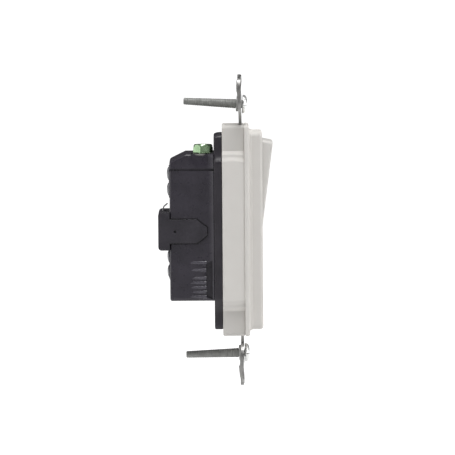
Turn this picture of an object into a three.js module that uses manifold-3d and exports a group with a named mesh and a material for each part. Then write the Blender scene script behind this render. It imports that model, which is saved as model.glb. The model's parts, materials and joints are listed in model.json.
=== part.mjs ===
// A decorator rocker wall switch, as an assembly of separate pieces, in millimetres.
// +X points out of the wall, +Z up and Y across. The origin is on the wall plane, which is the back of the
// strap's ears, midway between the two mounting screws.
import * as THREE from 'three';
import { mergeVertices } from 'three/addons/utils/BufferGeometryUtils.js';
import Module from 'manifold-3d';

const wasm = await Module();
wasm.setup();

// ---- driving dimensions ----
const GAP = 0.3; // clearance between pieces that touch
const ROUND = 20; // sides of a round piece
const TURN = Math.PI * 2;

const STRAP = { thick: 1.0, halfHeight: 51.9, neckHalf: 8, frameHalf: 14.5, frameTop: 24.2 };
const EAR = { start: 38.2, halfWidth: 21, corner: 4 };
const BREAK_SLOT = { y: 10.4, heights: [41.6, 48.4], halfWidth: 0.5, halfHeight: 1.9 }; // to snap a wing off
const STRAP_WINDOW = { halfWidth: 12, halfHeight: 20.5 };
const SLOT = { z: 41.65, halfHeight: 2.6, halfWidth: 4.4, corner: 2.5 };
const PLATE_HOLE = { z: 48.4, radius: 1.45, collar: 2.3, proud: 1.0 };

const HOUSING = { back: -6.05, flangeBack: 1.5, flangeFront: 3.1, stepFront: 3.9, front: 7.55, wall: 1.8 };
const HOUSING_END = 35.4;
const CORNER = 1.5; // of the flange and the raised face, seen from the front
const WAIST = { start: 22.7, end: 26.8, wide: 18.6, narrow: 16.6 };
const FLANGE_HALF = 19;
const STEP_SIZE = { halfWidth: 17.2, halfHeight: 33.9 };
const FACE_SIZE = { halfWidth: 16.5, halfHeight: 33.2 };
const OPENING = { halfWidth: 13.6, halfHeight: 31.4 };
const BOSS = { y: 12.9, z: 28.5, radius: 2.2, front: 1.1, pilot: 1.5, pilotEnd: 0.4, rootHalf: 1.2 };

const PIVOT_X = 3.6;
const TILT = THREE.MathUtils.degToRad(3.7); // the paddle's tilt at rest, and the half-angle of its V
const PADDLE = { halfWidth: 13.3, endRadius: 31, front: 3.8, back: -2.0, wall: 1.6 }; // from the pivot
const TRUNNION = { radius: 1.4, end: 15.1 };
const TOWER = { radius: 3.5, bore: 2.2, end: -11.5 };
const WEB = { back: -1.4, halfThick: 0.8 };
const SPRING = { start: -6.85, end: -0.65, radius: 1.55, wire: 0.3, turns: 5 };

const PLATE = { back: -8.85, front: -6.35, top: 32.4, bottom: -33.2, wide: 18, narrow: 16.2 };
const POST = { y: 5.5, z: 28.8, radius: 2 };
const PLATE_WINDOW = { halfWidth: 8, halfHeight: 6.5 }; // the plunger's tower passes through
const COUNTERBORE = { radius: 2.6, depth: 1.5 };
const BODY = { back: -23.8, front: -9.15, top: 26.1, bottom: -23.5, halfWidth: 16.5 };
const CAVITY = { back: -21.8, halfWidth: 13.9, bottom: -21.3, top: 21.9 };
const BODY_SLOPE = { start: -18.5, end: -22.8, endZ: 24, backZ: 22.6 }; // the top falls away to the back
const WIRE_WAY = { x: -13.4, radius: 2.8, above: 1.9 }; // the ground wire's way in, centred above the top
const RAMP = { back: -16.2, front: -10.8, start: 22.7, depth: 0.8 };
const GROOVE = { bottom: 20.3, top: 21.2, depth: 0.6 };
const RIB = { back: -16.3, halfThick: 0.25, proud: 0.3 };
const RIB_HEIGHTS = [-10.6, -13.1, -15.8, -17.4, -18.9, -20.5, -22.1];
const POCKET = { back: -11.6, front: -9.4, depth: 1, bottom: -22.2, top: -10.6 };
const SCREW_WINDOW = { halfDepth: 4.4, halfHeight: 4.2 };

const BRIDGE_X = -12.2;
const BRIDGE_TILT = TILT * 2.2;
const BRIDGE = { halfLength: 9.2, halfWidth: 2.4, contactZ: -8, ear: 0.6 };
const BRIDGE_BAR = { back: 0.05, front: 0.85, axleHalf: 4.4, hole: 1.0 };
const TERMINAL = { thick: 0.8, back: -21.4, outer: 13.3, screwX: -16, screwZ: 12 };
const TERMINAL_SIDE = { front: -11.5, inner: 7, outer: 21 };
const CRADLE = { inner: 3.2, outer: 4, halfHeight: 2.2 };
const WIRE_SPRING = { inner: 17, outer: 20.2, thick: 0.4 };
const WIRE_HOLE = { y: 9.5, z: 18.6, radius: 1.2 };
const SCREW = { shank: 1.75, bore: 2.05, head: 3.6, slotHalf: 0.5 };
const CLAMP = { inner: 13.7, outer: 14.8, halfDepth: 4, halfHeight: 3.8, groundHalf: 3.4, groundThick: 0.7 };
const GROUND = { x: -12.4, y: -10.5, head: 26.3, flat: 3.0 };
const TAB = { back: -16.2, bottom: 24.1, top: 24.9, halfWidth: 3.8 };
const MOUNT_SCREW = { head: 3.15, under: 1.3, top: 2.9, tip: -18.65, shank: 1.5, end: 1.15, recess: 0.9 };
const WASHER = { back: -0.75, radius: 2.6 };
// The captive mounting screws lean outward in their wide slots, each by its own angle in degrees.
const MOUNT_PLACES = { top: { z: 42.35, lean: 3.3 }, bottom: { z: -42, lean: -1.7 } };
const CLIP = { back: -27.7, halfHeight: 6.4, armHalf: 4.0, tipHalf: 1.3, armEnd: -11.2, taper: -14.7 };
const CLIP_ARM = { inner: 16.2, outer: 17.2 };
const CLIP_BAR = { wall: 1.4, corner: 1.2, ribHalf: 0.6, ribTop: 3.2, pinholeX: -22, pinhole: 0.5 };
const CLIP_SLOT = { back: -26.7, front: -24.7, halfWidth: 2.4, bottom: 3.9 };
const LEAF = { halfWidth: 1.9, thick: 0.4, bends: [[-26.1, 4.2], [-26.1, 6.9], [-25.8, 7.8], [-24.6, 8.8]] };
const RIVET = { y: -9, hole: 1.2, heights: [19.3, 14.0, -8.6, -13.7] };

// ---- materials ----
function material(color, roughness, metalness) {
  return new THREE.MeshStandardMaterial({ color, roughness, metalness });
}
const WHITE = material(0xe6e3dc, 0.4, 0);
const BLACK = material(0x2c2a2f, 0.5, 0);
const STEEL = material(0xa9a9a6, 0.35, 1);
const SPRING_STEEL = material(0xc4c4c4, 0.3, 1);
const BRASS = material(0xc9a450, 0.35, 1);
const SILVER = material(0xd9d9d6, 0.3, 1);
const GREEN = material(0x3f8a3c, 0.35, 0.6);
const GREY = material(0x77777a, 0.4, 0.8);
const FIBRE = material(0xf0efe9, 0.7, 0);

// ---- solids ----
function solidOf(geometry) {
  const bare = geometry.clone();
  bare.deleteAttribute('normal');
  bare.deleteAttribute('uv');
  const merged = mergeVertices(bare, 1e-4);
  const corners = merged.index.array;
  const kept = [];
  for (let i = 0; i < corners.length; i += 3) {
    const [a, b, c] = [corners[i], corners[i + 1], corners[i + 2]];
    if (a !== b && b !== c && c !== a) kept.push(a, b, c);
  }
  return new wasm.Manifold(new wasm.Mesh({
    numProp: 3,
    vertProperties: Float32Array.from(merged.attributes.position.array),
    triVerts: Uint32Array.from(kept),
  }));
}

function joined(solids) {
  return solids.reduce((whole, next) => whole.add(next));
}

function cut(solid, ...tools) {
  return tools.reduce((whole, tool) => whole.subtract(tool), solid);
}

function block([x0, x1], [y0, y1], [z0, z1]) {
  const box = new THREE.BoxGeometry(x1 - x0, y1 - y0, z1 - z0);
  return solidOf(box.translate((x0 + x1) / 2, (y0 + y1) / 2, (z0 + z1) / 2));
}

// The span of the given half-length about a middle.
function around(middle, half) {
  return [middle - half, middle + half];
}

function sorted(a, b) {
  return [Math.min(a, b), Math.max(a, b)];
}

// Turns a solid that stands along +Y so that it stands along the named axis.
function aligned(geometry, axis) {
  if (axis === 'x') return geometry.rotateZ(-Math.PI / 2);
  if (axis === 'z') return geometry.rotateX(Math.PI / 2);
  return geometry;
}

function rod(axis, from, to, radius, [x, y, z], sides = ROUND, endRadius = radius) {
  const shape = new THREE.CylinderGeometry(endRadius, radius, to - from, sides);
  shape.translate(0, (from + to) / 2, 0);
  return solidOf(aligned(shape, axis).translate(x, y, z));
}

// A turned solid: each profile point is [distance along the axis, radius], both ends on the axis.
function turned(axis, profile, [x, y, z], sides = ROUND) {
  const points = profile.map(([along, radius]) => new THREE.Vector2(radius, along));
  return solidOf(aligned(new THREE.LatheGeometry(points, sides), axis).translate(x, y, z));
}

// An outline in Y and Z, extruded along X.
function slabX(shape, x0, x1, curveSegments = 4) {
  const flat = new THREE.ExtrudeGeometry(shape, { depth: x1 - x0, bevelEnabled: false, curveSegments });
  const turn = new THREE.Matrix4().set(0, 0, 1, x0, 1, 0, 0, 0, 0, 1, 0, 0, 0, 0, 0, 1);
  return solidOf(flat.applyMatrix4(turn));
}

// An outline in X and Z, extruded along Y.
function slabY(shape, y0, y1, curveSegments = 4) {
  const flat = new THREE.ExtrudeGeometry(shape, { depth: y1 - y0, bevelEnabled: false, curveSegments });
  const turn = new THREE.Matrix4().set(1, 0, 0, 0, 0, 0, -1, y1, 0, 1, 0, 0, 0, 0, 0, 1);
  return solidOf(flat.applyMatrix4(turn));
}

// An outline in X and Y, extruded along Z.
function slabZ(shape, z0, z1, curveSegments = 4) {
  const flat = new THREE.ExtrudeGeometry(shape, { depth: z1 - z0, bevelEnabled: false, curveSegments });
  return solidOf(flat.translate(0, 0, z0));
}

function polygon(points) {
  return new THREE.Shape(points.map(([u, v]) => new THREE.Vector2(u, v)));
}

function roundedBox(u0, u1, v0, v1, radius) {
  const shape = new THREE.Shape();
  shape.moveTo(u0 + radius, v0);
  shape.lineTo(u1 - radius, v0);
  shape.absarc(u1 - radius, v0 + radius, radius, -Math.PI / 2, 0);
  shape.lineTo(u1, v1 - radius);
  shape.absarc(u1 - radius, v1 - radius, radius, 0, Math.PI / 2);
  shape.lineTo(u0 + radius, v1);
  shape.absarc(u0 + radius, v1 - radius, radius, Math.PI / 2, Math.PI);
  shape.lineTo(u0, v0 + radius);
  shape.absarc(u0 + radius, v0 + radius, radius, Math.PI, Math.PI * 1.5);
  return shape;
}

// The outline of a bent strip of one thickness, from the points along its middle.
function stripOutline(points, thick) {
  const sides = [[], []];
  points.forEach(([u, v], i) => {
    const [pu, pv] = points[Math.max(i - 1, 0)];
    const [nu, nv] = points[Math.min(i + 1, points.length - 1)];
    const along = new THREE.Vector2(nu - pu, nv - pv).normalize();
    sides[0].push([u - along.y * thick / 2, v + along.x * thick / 2]);
    sides[1].unshift([u + along.y * thick / 2, v - along.x * thick / 2]);
  });
  return polygon([...sides[0], ...sides[1]]);
}

const model = new THREE.Group();

function addMesh(name, solid, look, parent = model) {
  const { vertProperties, triVerts } = solid.getMesh();
  const geometry = new THREE.BufferGeometry();
  geometry.setAttribute('position', new THREE.BufferAttribute(vertProperties, 3));
  geometry.setIndex(new THREE.BufferAttribute(triVerts, 1));
  geometry.computeVertexNormals();
  const mesh = new THREE.Mesh(geometry, look);
  mesh.name = name;
  parent.add(mesh);
}

// ---- the steel mounting strap ----
function strapEar(side) {
  const [bottom, top] = sorted(side * STRAP.halfHeight, side * EAR.start);
  const ear = slabX(roundedBox(-EAR.halfWidth, EAR.halfWidth, bottom, top, EAR.corner), 0, STRAP.thick);
  const [slotBottom, slotTop] = around(side * SLOT.z, SLOT.halfHeight);
  const slot = roundedBox(-SLOT.halfWidth, SLOT.halfWidth, slotBottom, slotTop, SLOT.corner);
  const collar = rod('x', -PLATE_HOLE.proud, STRAP.thick, PLATE_HOLE.collar, [0, 0, side * PLATE_HOLE.z], 16);
  const perforations = [];
  for (const y of [-BREAK_SLOT.y, BREAK_SLOT.y]) {
    for (const z of BREAK_SLOT.heights) {
      const along = around(side * z, BREAK_SLOT.halfHeight);
      perforations.push(block([-1, 2], around(y, BREAK_SLOT.halfWidth), along));
    }
  }
  const hole = rod('x', -2, 2, PLATE_HOLE.radius, [0, 0, side * PLATE_HOLE.z], 12);
  return cut(ear.add(collar), slabX(slot, -1, 2), hole, ...perforations);
}

function makeStrap() {
  const neck = block([0, STRAP.thick], around(0, STRAP.neckHalf), around(0, EAR.start + 1));
  const frame = block([0, STRAP.thick], around(0, STRAP.frameHalf), around(0, STRAP.frameTop));
  const window = block([-1, 2], around(0, STRAP_WINDOW.halfWidth), around(0, STRAP_WINDOW.halfHeight));
  const tab = block([TAB.back, STRAP.thick], around(GROUND.y, TAB.halfWidth), [TAB.bottom, TAB.top]);
  const tapped = rod('z', TAB.bottom - 1, TAB.top + 1, SCREW.bore, [GROUND.x, GROUND.y, 0], 16);
  const bar = cut(neck.add(frame), window);
  return joined([bar, cut(tab, tapped), strapEar(1), strapEar(-1)]);
}

// ---- the two white housings, with the strap between them ----
// Wide beside the mechanism and narrower at the ends, with a curved shoulder between.
function waistOutline(wide, narrow, bottom, top) {
  const half = [[narrow, top]];
  const steps = 4;
  for (const side of [1, -1]) {
    for (let i = 0; i <= steps; i++) {
      const t = side > 0 ? 1 - i / steps : i / steps;
      const ease = (1 - Math.cos(Math.PI * t)) / 2;
      half.push([wide + (narrow - wide) * ease, side * (WAIST.start + (WAIST.end - WAIST.start) * t)]);
    }
  }
  half.push([narrow, bottom]);
  const other = half.map(([y, z]) => [-y, z]).reverse();
  return polygon([...other, ...half]);
}

function makeMiddleHousing() {
  const { back, flangeBack, wall } = HOUSING;
  const front = flangeBack - GAP;
  const innerEnd = HOUSING_END - wall;
  const outside = waistOutline(WAIST.wide, WAIST.narrow, -HOUSING_END, HOUSING_END);
  const hollow = waistOutline(WAIST.wide - wall, WAIST.narrow - wall, -innerEnd, innerEnd);
  let housing = cut(slabX(outside, back, front), slabX(hollow, back - 1, front + 1));

  for (const y of [-BOSS.y, BOSS.y]) {
    for (const z of [-BOSS.z, BOSS.z]) {
      const boss = rod('x', back + GAP, BOSS.front, BOSS.radius, [0, y, z], 16);
      const root = block([back + GAP, BOSS.front], sorted(y, y * 1.2), around(z, BOSS.rootHalf));
      const pilot = rod('x', back - 1, BOSS.pilotEnd, BOSS.pilot, [0, y, z], 12);
      housing = cut(housing.add(boss).add(root), pilot);
    }
  }
  for (const side of [1, -1]) {
    const notch = sorted(side * (innerEnd - 1), side * (HOUSING_END + 1));
    housing = cut(housing, block([-GAP, front + 1], around(0, STRAP.neckHalf + GAP), notch));
  }
  return housing;
}

function makeFrontHousing() {
  const { flangeBack, flangeFront, stepFront, front } = HOUSING;
  const centred = (halfWidth, halfHeight, corner) => {
    return roundedBox(-halfWidth, halfWidth, -halfHeight, halfHeight, corner);
  };
  const flange = slabX(centred(FLANGE_HALF, HOUSING_END, CORNER), flangeBack, flangeFront);
  const stepOutline = centred(STEP_SIZE.halfWidth, STEP_SIZE.halfHeight, CORNER);
  const step = slabX(stepOutline, flangeFront - 0.1, stepFront);
  const face = slabX(centred(FACE_SIZE.halfWidth, FACE_SIZE.halfHeight, CORNER), flangeFront - 0.1, front);
  const opening = centred(OPENING.halfWidth, OPENING.halfHeight, CORNER / 2);
  let housing = cut(joined([flange, step, face]), slabX(opening, flangeBack - 1, front + 1));

  const bearing = new THREE.Shape();
  const play = TRUNNION.radius + GAP;
  bearing.moveTo(flangeBack - 1, -play);
  bearing.lineTo(PIVOT_X, -play);
  bearing.absarc(PIVOT_X, 0, play, -Math.PI / 2, Math.PI / 2);
  bearing.lineTo(flangeBack - 1, play);
  for (const side of [1, -1]) {
    const ends = sorted(side * (OPENING.halfWidth - 1), side * (TRUNNION.end + GAP));
    housing = cut(housing, slabY(bearing, ends[0], ends[1], 8));
  }
  return housing;
}

// ---- the paddle, about its pivot and before its tilt ----
function paddleEnd(shape, radius, x0, x1, side) {
  const angle = (x) => Math.acos(x / radius) * side;
  shape.absarc(0, 0, radius, angle(x0), angle(x1), side < 0 ? x1 < x0 : x1 > x0);
}

function paddleOutline(front, back, radius) {
  const rise = Math.tan(TILT);
  const reach = radius * Math.cos(TILT);
  const frontX = front + reach * rise;
  const backX = back + reach * rise;
  const shape = new THREE.Shape();
  shape.moveTo(back, 0);
  paddleEnd(shape, radius, backX, frontX, -1);
  shape.lineTo(front, 0);
  paddleEnd(shape, radius, frontX, backX, 1);
  return shape;
}

function makePaddle() {
  const { halfWidth, endRadius, front, back, wall } = PADDLE;
  const outer = slabY(paddleOutline(front, back, endRadius), -halfWidth, halfWidth);
  const innerHalf = halfWidth - wall;
  const inner = slabY(paddleOutline(front - wall, back - 3, endRadius - wall), -innerHalf, innerHalf);
  const trunnion = rod('y', -TRUNNION.end, TRUNNION.end, TRUNNION.radius, [0, 0, 0], 16);
  const trunnionWay = block([-5, front - wall], around(0, innerHalf), [-3, 3]);
  const tower = rod('x', TOWER.end, front - wall + 0.5, TOWER.radius, [0, 0, 0]);
  const webs = [-1, 1].map((side) => {
    const ends = sorted(side * (TOWER.radius - 0.5), side * (halfWidth - 1));
    return block([WEB.back, front - wall + 0.3], ends, around(0, WEB.halfThick));
  });
  const bore = rod('x', TOWER.end - 1, 0, TOWER.bore, [0, 0, 0]);
  const shell = cut(outer, inner).add(cut(trunnion, trunnionWay));
  return cut(joined([shell, tower, ...webs]), bore);
}

class Helix extends THREE.Curve {
  constructor(start, end, radius, turns) {
    super();
    Object.assign(this, { start, end, radius, turns });
  }

  getPoint(t) {
    const angle = t * this.turns * TURN;
    const along = this.start + (this.end - this.start) * t;
    return new THREE.Vector3(along, this.radius * Math.cos(angle), this.radius * Math.sin(angle));
  }
}

function makeSpring() {
  const wire = new THREE.Shape();
  wire.absarc(0, 0, SPRING.wire, 0, TURN);
  const path = new Helix(SPRING.start, SPRING.end, SPRING.radius, SPRING.turns);
  const options = { steps: 60, extrudePath: path, curveSegments: 3, bevelEnabled: false };
  return solidOf(new THREE.ExtrudeGeometry(wire, options));
}

function makePlunger() {
  const nose = [[-14.6, 0], [-14.35, 0.75], [-13.7, 1.2], [-13, 1.5]];
  const profile = [...nose, [-8.8, 1.5], [-8.8, 1.85], [-7.6, 1.85], [-7.6, 0]];
  return turned('x', profile, [0, 0, 0], 16);
}

// ---- the contact bridge, about its own pivot ----
function makeBridge() {
  const { halfLength, halfWidth, contactZ, ear } = BRIDGE;
  const bar = block([BRIDGE_BAR.back, BRIDGE_BAR.front], around(0, halfWidth), around(0, halfLength));
  const axle = rod('y', -BRIDGE_BAR.axleHalf, BRIDGE_BAR.axleHalf, ear, [0, 0, 0], 12);
  const hole = rod('x', -1, 2, BRIDGE_BAR.hole, [0, 0, contactZ], 12);
  return cut(bar.add(axle), hole);
}

function makeMovingContact() {
  const face = [[-1.05, 0], [-1.05, 1.2], [-0.85, 1.5], [-0.25, 1.5]];
  const profile = [...face, [-0.25, 0.7], [0.85, 0.7], [0.85, 0]];
  return turned('x', profile, [0, 0, BRIDGE.contactZ], 16);
}

function makeFixedContact() {
  const face = [[-15.7, 1.5], [-15.1, 1.5], [-14.9, 1.2], [-14.9, 0]];
  const profile = [[-17.2, 0], [-17.2, 0.8], [-15.7, 0.8], ...face];
  return turned('x', profile, [0, 0, BRIDGE.contactZ], 16);
}

// ---- the two brass terminals ----
function terminalSide(side) {
  const { thick, back, outer, screwX, screwZ } = TERMINAL;
  const ends = sorted(side * TERMINAL_SIDE.inner, side * TERMINAL_SIDE.outer);
  const plate = block([back, TERMINAL_SIDE.front], [outer - thick, outer], ends);
  return cut(plate, rod('y', outer - 2, outer + 2, SCREW.bore, [screwX, 0, side * screwZ], 16));
}

function makeLineTerminal() {
  const { thick, back, outer } = TERMINAL;
  const base = block([back, back + thick], [-4, outer], [-3.5, 12]);
  const lugs = [-1, 1].map((side) => {
    const ends = sorted(side * CRADLE.inner, side * CRADLE.outer);
    return block([back, BRIDGE_X + 0.7], ends, around(0, CRADLE.halfHeight));
  });
  const seat = rod('y', -5, 5, BRIDGE.ear + GAP, [BRIDGE_X, 0, 0], 16);
  const mouth = block([BRIDGE_X, BRIDGE_X + 2], [-5, 5], [-BRIDGE.ear - GAP, BRIDGE.ear + GAP]);
  return cut(joined([base, terminalSide(1), ...lugs]), seat, mouth);
}

function makeLoadTerminal() {
  const { thick, back, outer } = TERMINAL;
  const base = block([back, back + thick], [-3, outer], [-13, -10]);
  const post = block([back, -16], [-3, 3], [-12.2, -11.4]);
  const top = block([-16.8, -16], [-3, 3], [-12.2, -5.6]);
  const hole = rod('x', -18, -15, 1.1, [0, 0, BRIDGE.contactZ], 12);
  return cut(joined([base, post, top, terminalSide(-1)]), hole);
}

function makeWireSpring(side) {
  const bend = [[-19.8, 5.0], [-13, 5.0], [-12.2, 5.8], [-12.6, 6.8], [-17.6, 11.2]];
  const ends = sorted(side * WIRE_SPRING.inner, side * WIRE_SPRING.outer);
  return slabZ(stripOutline(bend, WIRE_SPRING.thick), ends[0], ends[1]);
}

// ---- the separator plate behind the housing ----
function makeSeparator() {
  const { back, front, top, bottom, wide, narrow } = PLATE;
  const plate = slabX(waistOutline(wide, narrow, bottom, top), back, front);
  const posts = [];
  const through = [back - 1, front + 1];
  const holes = [block(through, around(0, PLATE_WINDOW.halfWidth), around(0, PLATE_WINDOW.halfHeight))];
  for (const y of [-1, 1]) {
    for (const z of [-1, 1]) {
      posts.push(rod('x', back, -GAP, POST.radius, [0, y * POST.y, z * POST.z], 12));
      const at = [0, y * BOSS.y, z * BOSS.z];
      holes.push(rod('x', back - 1, front + 1, BOSS.pilot, at, 12));
      holes.push(rod('x', back - 1, back + COUNTERBORE.depth, COUNTERBORE.radius, at, 16));
    }
  }
  holes.push(block(through, around(GROUND.y, TAB.halfWidth + GAP), [TAB.bottom - GAP, TAB.top + GAP]));
  return cut(joined([plate, ...posts]), ...holes);
}

// ---- the black back body ----
function makeBody() {
  const { back, front, top, bottom, halfWidth } = BODY;
  const side = new THREE.Shape();
  side.moveTo(front, bottom);
  side.lineTo(front, top);
  side.lineTo(BODY_SLOPE.start, top);
  side.lineTo(BODY_SLOPE.end, BODY_SLOPE.endZ);
  side.quadraticCurveTo(back, BODY_SLOPE.endZ - 0.5, back, BODY_SLOPE.backZ);
  side.lineTo(back, bottom + 1);
  side.quadraticCurveTo(back, bottom, back + 1, bottom);
  const shell = slabY(side, -halfWidth, halfWidth);

  const tools = [block([CAVITY.back, front + 1], around(0, CAVITY.halfWidth), [CAVITY.bottom, CAVITY.top])];
  const tabWay = around(GROUND.y, TAB.halfWidth + GAP);
  tools.push(block([TAB.back - GAP, front + 1], tabWay, [TAB.bottom - GAP, top + 1]));
  tools.push(rod('z', CAVITY.top - 1, top, SCREW.bore, [GROUND.x, GROUND.y, 0], 16));
  tools.push(rod('y', -halfWidth - 1, GROUND.y, WIRE_WAY.radius, [WIRE_WAY.x, 0, top + WIRE_WAY.above], 16));
  const [outside, deep] = [-halfWidth - 1, -halfWidth + RAMP.depth];
  const foot = [[outside, RAMP.start], [-halfWidth, RAMP.start]];
  const ramp = polygon([...foot, [deep, top], [deep, top + 1], [outside, top + 1]]);
  tools.push(slabX(ramp, RAMP.back, RAMP.front));
  for (const y of [-halfWidth, halfWidth]) {
    const skin = around(y, GROOVE.depth);
    tools.push(block([back - 1, CLIP.armEnd + 0.5], skin, around(0, CLIP.armHalf + 0.4)));
    tools.push(block([back - 1, front + 1], skin, [GROOVE.bottom, GROOVE.top]));
  }
  const { screwX, screwZ } = TERMINAL;
  for (const z of [-screwZ, screwZ]) {
    const across = [CAVITY.halfWidth - 1, halfWidth + 1];
    tools.push(block(around(screwX, SCREW_WINDOW.halfDepth), across, around(z, SCREW_WINDOW.halfHeight)));
  }
  for (const z of [-WIRE_HOLE.z, WIRE_HOLE.z]) {
    tools.push(rod('x', back - 1, CAVITY.back + 1, WIRE_HOLE.radius, [0, WIRE_HOLE.y, z], 12));
  }
  for (const z of RIVET.heights) {
    tools.push(rod('x', back - 1, CAVITY.back + 1, RIVET.hole, [0, RIVET.y, z], 12));
  }
  const pocketSkin = around(-halfWidth, POCKET.depth);
  tools.push(block([POCKET.back, POCKET.front], pocketSkin, [POCKET.bottom, POCKET.top]));

  const ribs = RIB_HEIGHTS.map((z) => {
    return block([RIB.back, POCKET.back], around(-halfWidth, RIB.proud), around(z, RIB.halfThick));
  });
  return joined([cut(shell, ...tools), ...ribs]);
}

// ---- the clip over the back ----
function makeClip() {
  const { back, halfHeight, armHalf, tipHalf, armEnd, taper } = CLIP;
  const { inner, outer } = CLIP_ARM;
  const front = BODY.back - GAP;
  const { wall, corner, ribHalf, ribTop, pinholeX, pinhole } = CLIP_BAR;
  const bar = slabY(roundedBox(back, front, -halfHeight, halfHeight, corner), -outer, outer);
  const hollow = block([back + wall, front + 1], around(0, outer - wall), around(0, halfHeight - wall));
  const rib = block([back + 1, front], around(0, ribHalf), [-halfHeight + 1, ribTop]);
  const lower = [[front - 1, -armHalf], [taper, -armHalf], [armEnd, -tipHalf]];
  const upper = lower.map(([x, z]) => [x, -z]).reverse();
  const armShape = polygon([...lower, ...upper]);
  const arms = [[-outer, -inner], [inner, outer]].map(([y0, y1]) => slabY(armShape, y0, y1));
  const pin = rod('y', -outer - 1, outer + 1, pinhole, [pinholeX, 0, 0], 8);
  const slotWay = [CLIP_SLOT.bottom, halfHeight + 1];
  const slot = block([CLIP_SLOT.back, CLIP_SLOT.front], around(0, CLIP_SLOT.halfWidth), slotWay);
  return cut(joined([cut(bar, hollow), rib, ...arms]), pin, slot);
}

function makeClipSpring() {
  return slabY(stripOutline(LEAF.bends, LEAF.thick), -LEAF.halfWidth, LEAF.halfWidth);
}

// ---- fasteners ----
// Along its own axis from the strap's plane, as is its washer.
function makeMountingScrew() {
  const { head, under, top, tip, shank, end, recess } = MOUNT_SCREW;
  const stem = [[tip, 0], [tip, end * 0.8], [tip + 0.3, end], [0, shank], [under, shank]];
  const profile = [...stem, [under, head], [top - 0.6, head], [top, head * 0.6], [top, 0]];
  const body = turned('x', profile, [0, 0, 0]);
  const depth = [top - recess, top + 1];
  const [long, thin] = [around(0, 2.2), around(0, 0.4)];
  return cut(body, block(depth, long, thin).add(block(depth, thin, long)));
}

function makeWasher() {
  const disc = rod('x', WASHER.back, -GAP, WASHER.radius, [0, 0, 0], 16);
  return cut(disc, rod('x', -2, 1, MOUNT_SCREW.shank + GAP, [0, 0, 0], 16));
}

function makeTerminalScrew(z) {
  const stem = [[9.5, 0], [9.5, SCREW.shank], [15.2, SCREW.shank]];
  const profile = [...stem, [15.2, SCREW.head], [16.8, SCREW.head], [17.2, 3.1], [17.2, 0]];
  const body = turned('y', profile, [TERMINAL.screwX, 0, z]);
  const slot = block(around(TERMINAL.screwX, SCREW.head + 0.4), [16.3, 18], around(z, SCREW.slotHalf));
  return cut(body, slot);
}

function makeClampPlate(z) {
  const { screwX } = TERMINAL;
  const { inner, outer, halfDepth, halfHeight } = CLAMP;
  const plate = block(around(screwX, halfDepth), [inner, outer], around(z, halfHeight));
  return cut(plate, rod('y', 13, 16, SCREW.bore, [screwX, 0, z], 16));
}

function makeGroundScrew() {
  const { x, y, head, flat } = GROUND;
  const corner = flat / Math.cos(Math.PI / 6);
  const hex = rod('z', head, head + 2.2, corner, [x, y, 0], 6);
  const crown = rod('z', head + 2.2, head + 2.9, corner, [x, y, 0], 6, corner * 0.84);
  const shank = rod('z', head - 7.1, head, SCREW.shank, [x, y, 0], 16);
  const slot = block(around(x, 4), around(y, SCREW.slotHalf), [head + 1.8, head + 4]);
  return cut(joined([hex, crown, shank]), slot);
}

function makeGroundClamp() {
  const { x, y, head } = GROUND;
  const { groundHalf, groundThick } = CLAMP;
  const plate = block(around(x, groundHalf), around(y, groundHalf), [head - GAP - groundThick, head - GAP]);
  return cut(plate, rod('z', head - 2, head, SCREW.bore, [x, y, 0], 16));
}

function makeAssemblyScrew(y, z) {
  const back = PLATE.back + 0.1;
  const profile = [[back, 0], [back, 2.2], [back + 1.1, 2.2], [back + 1.1, 1.2], [0, 1.2], [0, 0]];
  return turned('x', profile, [0, y, z], 12);
}

function makeRivet(z) {
  const profile = [[-24.7, 0], [-24.55, 1.2], [-24.1, 2.2], [-24.1, 0.9], [-22.4, 0.9], [-22.4, 0]];
  return turned('x', profile, [0, RIVET.y, z], 14);
}

// ---- the assembly ----
addMesh('mounting_strap', makeStrap(), STEEL);
addMesh('front_housing', makeFrontHousing(), WHITE);
addMesh('middle_housing', makeMiddleHousing(), WHITE);
addMesh('separator_plate', makeSeparator(), BLACK);
addMesh('back_body', makeBody(), BLACK);
addMesh('rear_clip', makeClip(), BLACK);
addMesh('clip_spring', makeClipSpring(), SPRING_STEEL);

const rocker = new THREE.Group();
rocker.position.set(PIVOT_X, 0, 0);
rocker.rotation.y = TILT;
model.add(rocker);
addMesh('rocker_paddle', makePaddle(), WHITE, rocker);
addMesh('actuator_spring', makeSpring(), SPRING_STEEL, rocker);
addMesh('actuator_plunger', makePlunger(), WHITE, rocker);

const bridge = new THREE.Group();
bridge.position.set(BRIDGE_X, 0, 0);
bridge.rotation.y = -BRIDGE_TILT;
model.add(bridge);
addMesh('contact_bridge', makeBridge(), BRASS, bridge);
addMesh('moving_contact', makeMovingContact(), SILVER, bridge);

addMesh('line_terminal', makeLineTerminal(), BRASS);
addMesh('load_terminal', makeLoadTerminal(), BRASS);
addMesh('fixed_contact', makeFixedContact(), SILVER);
addMesh('line_wire_spring', makeWireSpring(1), SPRING_STEEL);
addMesh('load_wire_spring', makeWireSpring(-1), SPRING_STEEL);
addMesh('line_clamp_plate', makeClampPlate(TERMINAL.screwZ), STEEL);
addMesh('load_clamp_plate', makeClampPlate(-TERMINAL.screwZ), STEEL);
addMesh('line_terminal_screw', makeTerminalScrew(TERMINAL.screwZ), BRASS);
addMesh('load_terminal_screw', makeTerminalScrew(-TERMINAL.screwZ), BRASS);
addMesh('ground_clamp', makeGroundClamp(), STEEL);
addMesh('ground_screw', makeGroundScrew(), GREEN);

for (const [place, { z, lean }] of Object.entries(MOUNT_PLACES)) {
  const leaning = new THREE.Group();
  leaning.position.set(0, 0, z);
  leaning.rotation.y = THREE.MathUtils.degToRad(lean);
  model.add(leaning);
  addMesh(`mounting_screw_${place}`, makeMountingScrew(), STEEL, leaning);
  addMesh(`captive_washer_${place}`, makeWasher(), FIBRE, leaning);
}

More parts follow.
